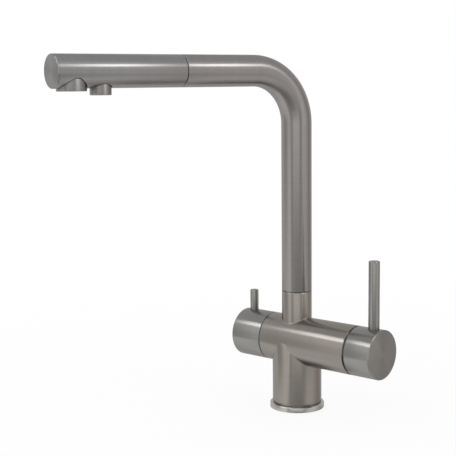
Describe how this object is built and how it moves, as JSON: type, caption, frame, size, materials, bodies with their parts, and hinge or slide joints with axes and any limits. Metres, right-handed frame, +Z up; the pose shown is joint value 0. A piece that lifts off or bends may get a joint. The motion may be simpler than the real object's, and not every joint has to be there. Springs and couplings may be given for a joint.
{
  "type": "kitchen mixer tap",
  "caption": "Kitchen mixer tap with an angled swivel spout, a pull-out head with two outlets, a lift-and-turn mixer handle and a second turning handle for filtered water.",
  "frame": {"origin": "centre of the foot's underside, on the worktop", "axes": "+Z up along the pillar; +X along the barrel towards the mixer handle; the user stands at -Y, and the spout at rest is turned 15 degrees from -Y towards -X"},
  "size_m": [0.1725, 0.2632, 0.329],
  "materials": {
    "satin_steel": "fine satin brushing round each tube, slightly warm grey",
    "bright_steel": "bright turned steel",
    "brass": "turned brass, unplated",
    "black_rubber": "smooth black sealing rubber",
    "dark_plastic": "dark moulded plastic, matt",
    "white_plastic": "white low-friction plastic",
    "grey_plastic": "grey moulded plastic",
    "ceramic": null,
    "hose_braid": "grey braided sheath over a rubber hose",
    "blue_tube": "smooth blue drinking-water tube"
  },
  "bodies": {
    "tap_body": {"body": "satin_steel", "base_ring": "satin_steel", "base_gasket": "black_rubber", "swivel_spigot": "brass", "glide_rings": "white_plastic", "swivel_seals": "black_rubber", "neck_washer": "dark_plastic", "cartridge_base": "white_plastic", "cartridge_seals": "black_rubber", "mixer_fixed_disc": "ceramic", "cartridge_housing": "grey_plastic", "cartridge_nut": "brass", "domed_ring": "bright_steel", "filter_valve_body": "brass", "filter_seat_seal": "black_rubber", "filter_fixed_disc": "ceramic"},
    "mixer_turret": {"stem_guide": "white_plastic", "pivot_pin": "bright_steel"},
    "mixer_disc_slide": {"mixer_moving_disc": "ceramic", "disc_slider": "grey_plastic"},
    "mixer_handle": {"mixer_stem": "bright_steel", "mixer_cap": "satin_steel", "mixer_lever_pin": "satin_steel", "mixer_grub_screw": "bright_steel"},
    "filter_handle": {"filter_moving_disc": "ceramic", "filter_spindle": "brass", "spindle_seal": "black_rubber", "spindle_clip": "bright_steel", "filter_cap": "satin_steel", "filter_lever_pin": "satin_steel", "filter_grub_screw": "bright_steel"},
    "spout": {"spout_tube": "satin_steel", "spout_stop_screw": "bright_steel", "docking_bush": "dark_plastic", "main_hose_riser": "hose_braid", "filter_tube_riser": "blue_tube", "hose_foot_plug": "brass", "foot_ferrule": "bright_steel"},
    "pull_out_head": {"head_shell": "satin_steel", "head_end_plate": "satin_steel", "head_core": "dark_plastic", "docking_seal": "black_rubber", "main_hose_arm": "hose_braid", "filter_tube_arm": "blue_tube", "head_ferrule": "bright_steel", "hose_connector": "brass", "filter_connector": "brass", "check_valve": "white_plastic", "main_nozzle": "satin_steel", "aerator_washer": "black_rubber", "aerator_housing": "grey_plastic", "aerator_screen": "white_plastic", "filter_nozzle": "satin_steel", "filter_washer": "black_rubber", "filter_flow_insert": "white_plastic"}
  },
  "joints": [
    {"name": "spout_swivel", "type": "hinge", "parent": "tap_body", "child": "spout", "pos_m": [0, 0, 0.13], "axis": [0, 0, 1], "range_deg": [-55, 85]},
    {"name": "head_pull", "type": "slide", "parent": "spout", "child": "pull_out_head", "axis": [-0.2588, -0.9659, 0], "range_m": [0, 0.07]},
    {"name": "mixer_turn", "type": "hinge", "parent": "tap_body", "child": "mixer_turret", "pos_m": [0.0476, 0, 0.064], "axis": [1, 0, 0], "range_deg": [-50, 50]},
    {"name": "mixer_lift", "type": "hinge", "parent": "mixer_turret", "child": "mixer_handle", "pos_m": [0.0476, 0, 0.064], "axis": [0, 1, 0], "range_deg": [0, 20]},
    {"name": "disc_slide", "type": "slide", "parent": "mixer_turret", "child": "mixer_disc_slide", "axis": [0, 0, 1], "range_m": [-0.0001, 0.0045]},
    {"name": "filter_turn", "type": "hinge", "parent": "tap_body", "child": "filter_handle", "pos_m": [-0.045, 0, 0.064], "axis": [1, 0, 0], "range_deg": [0, 90]}
  ],
  "couplings": [
    {"joint": "disc_slide", "follows": "mixer_lift", "m_per_rad": 0.01176}
  ]
}
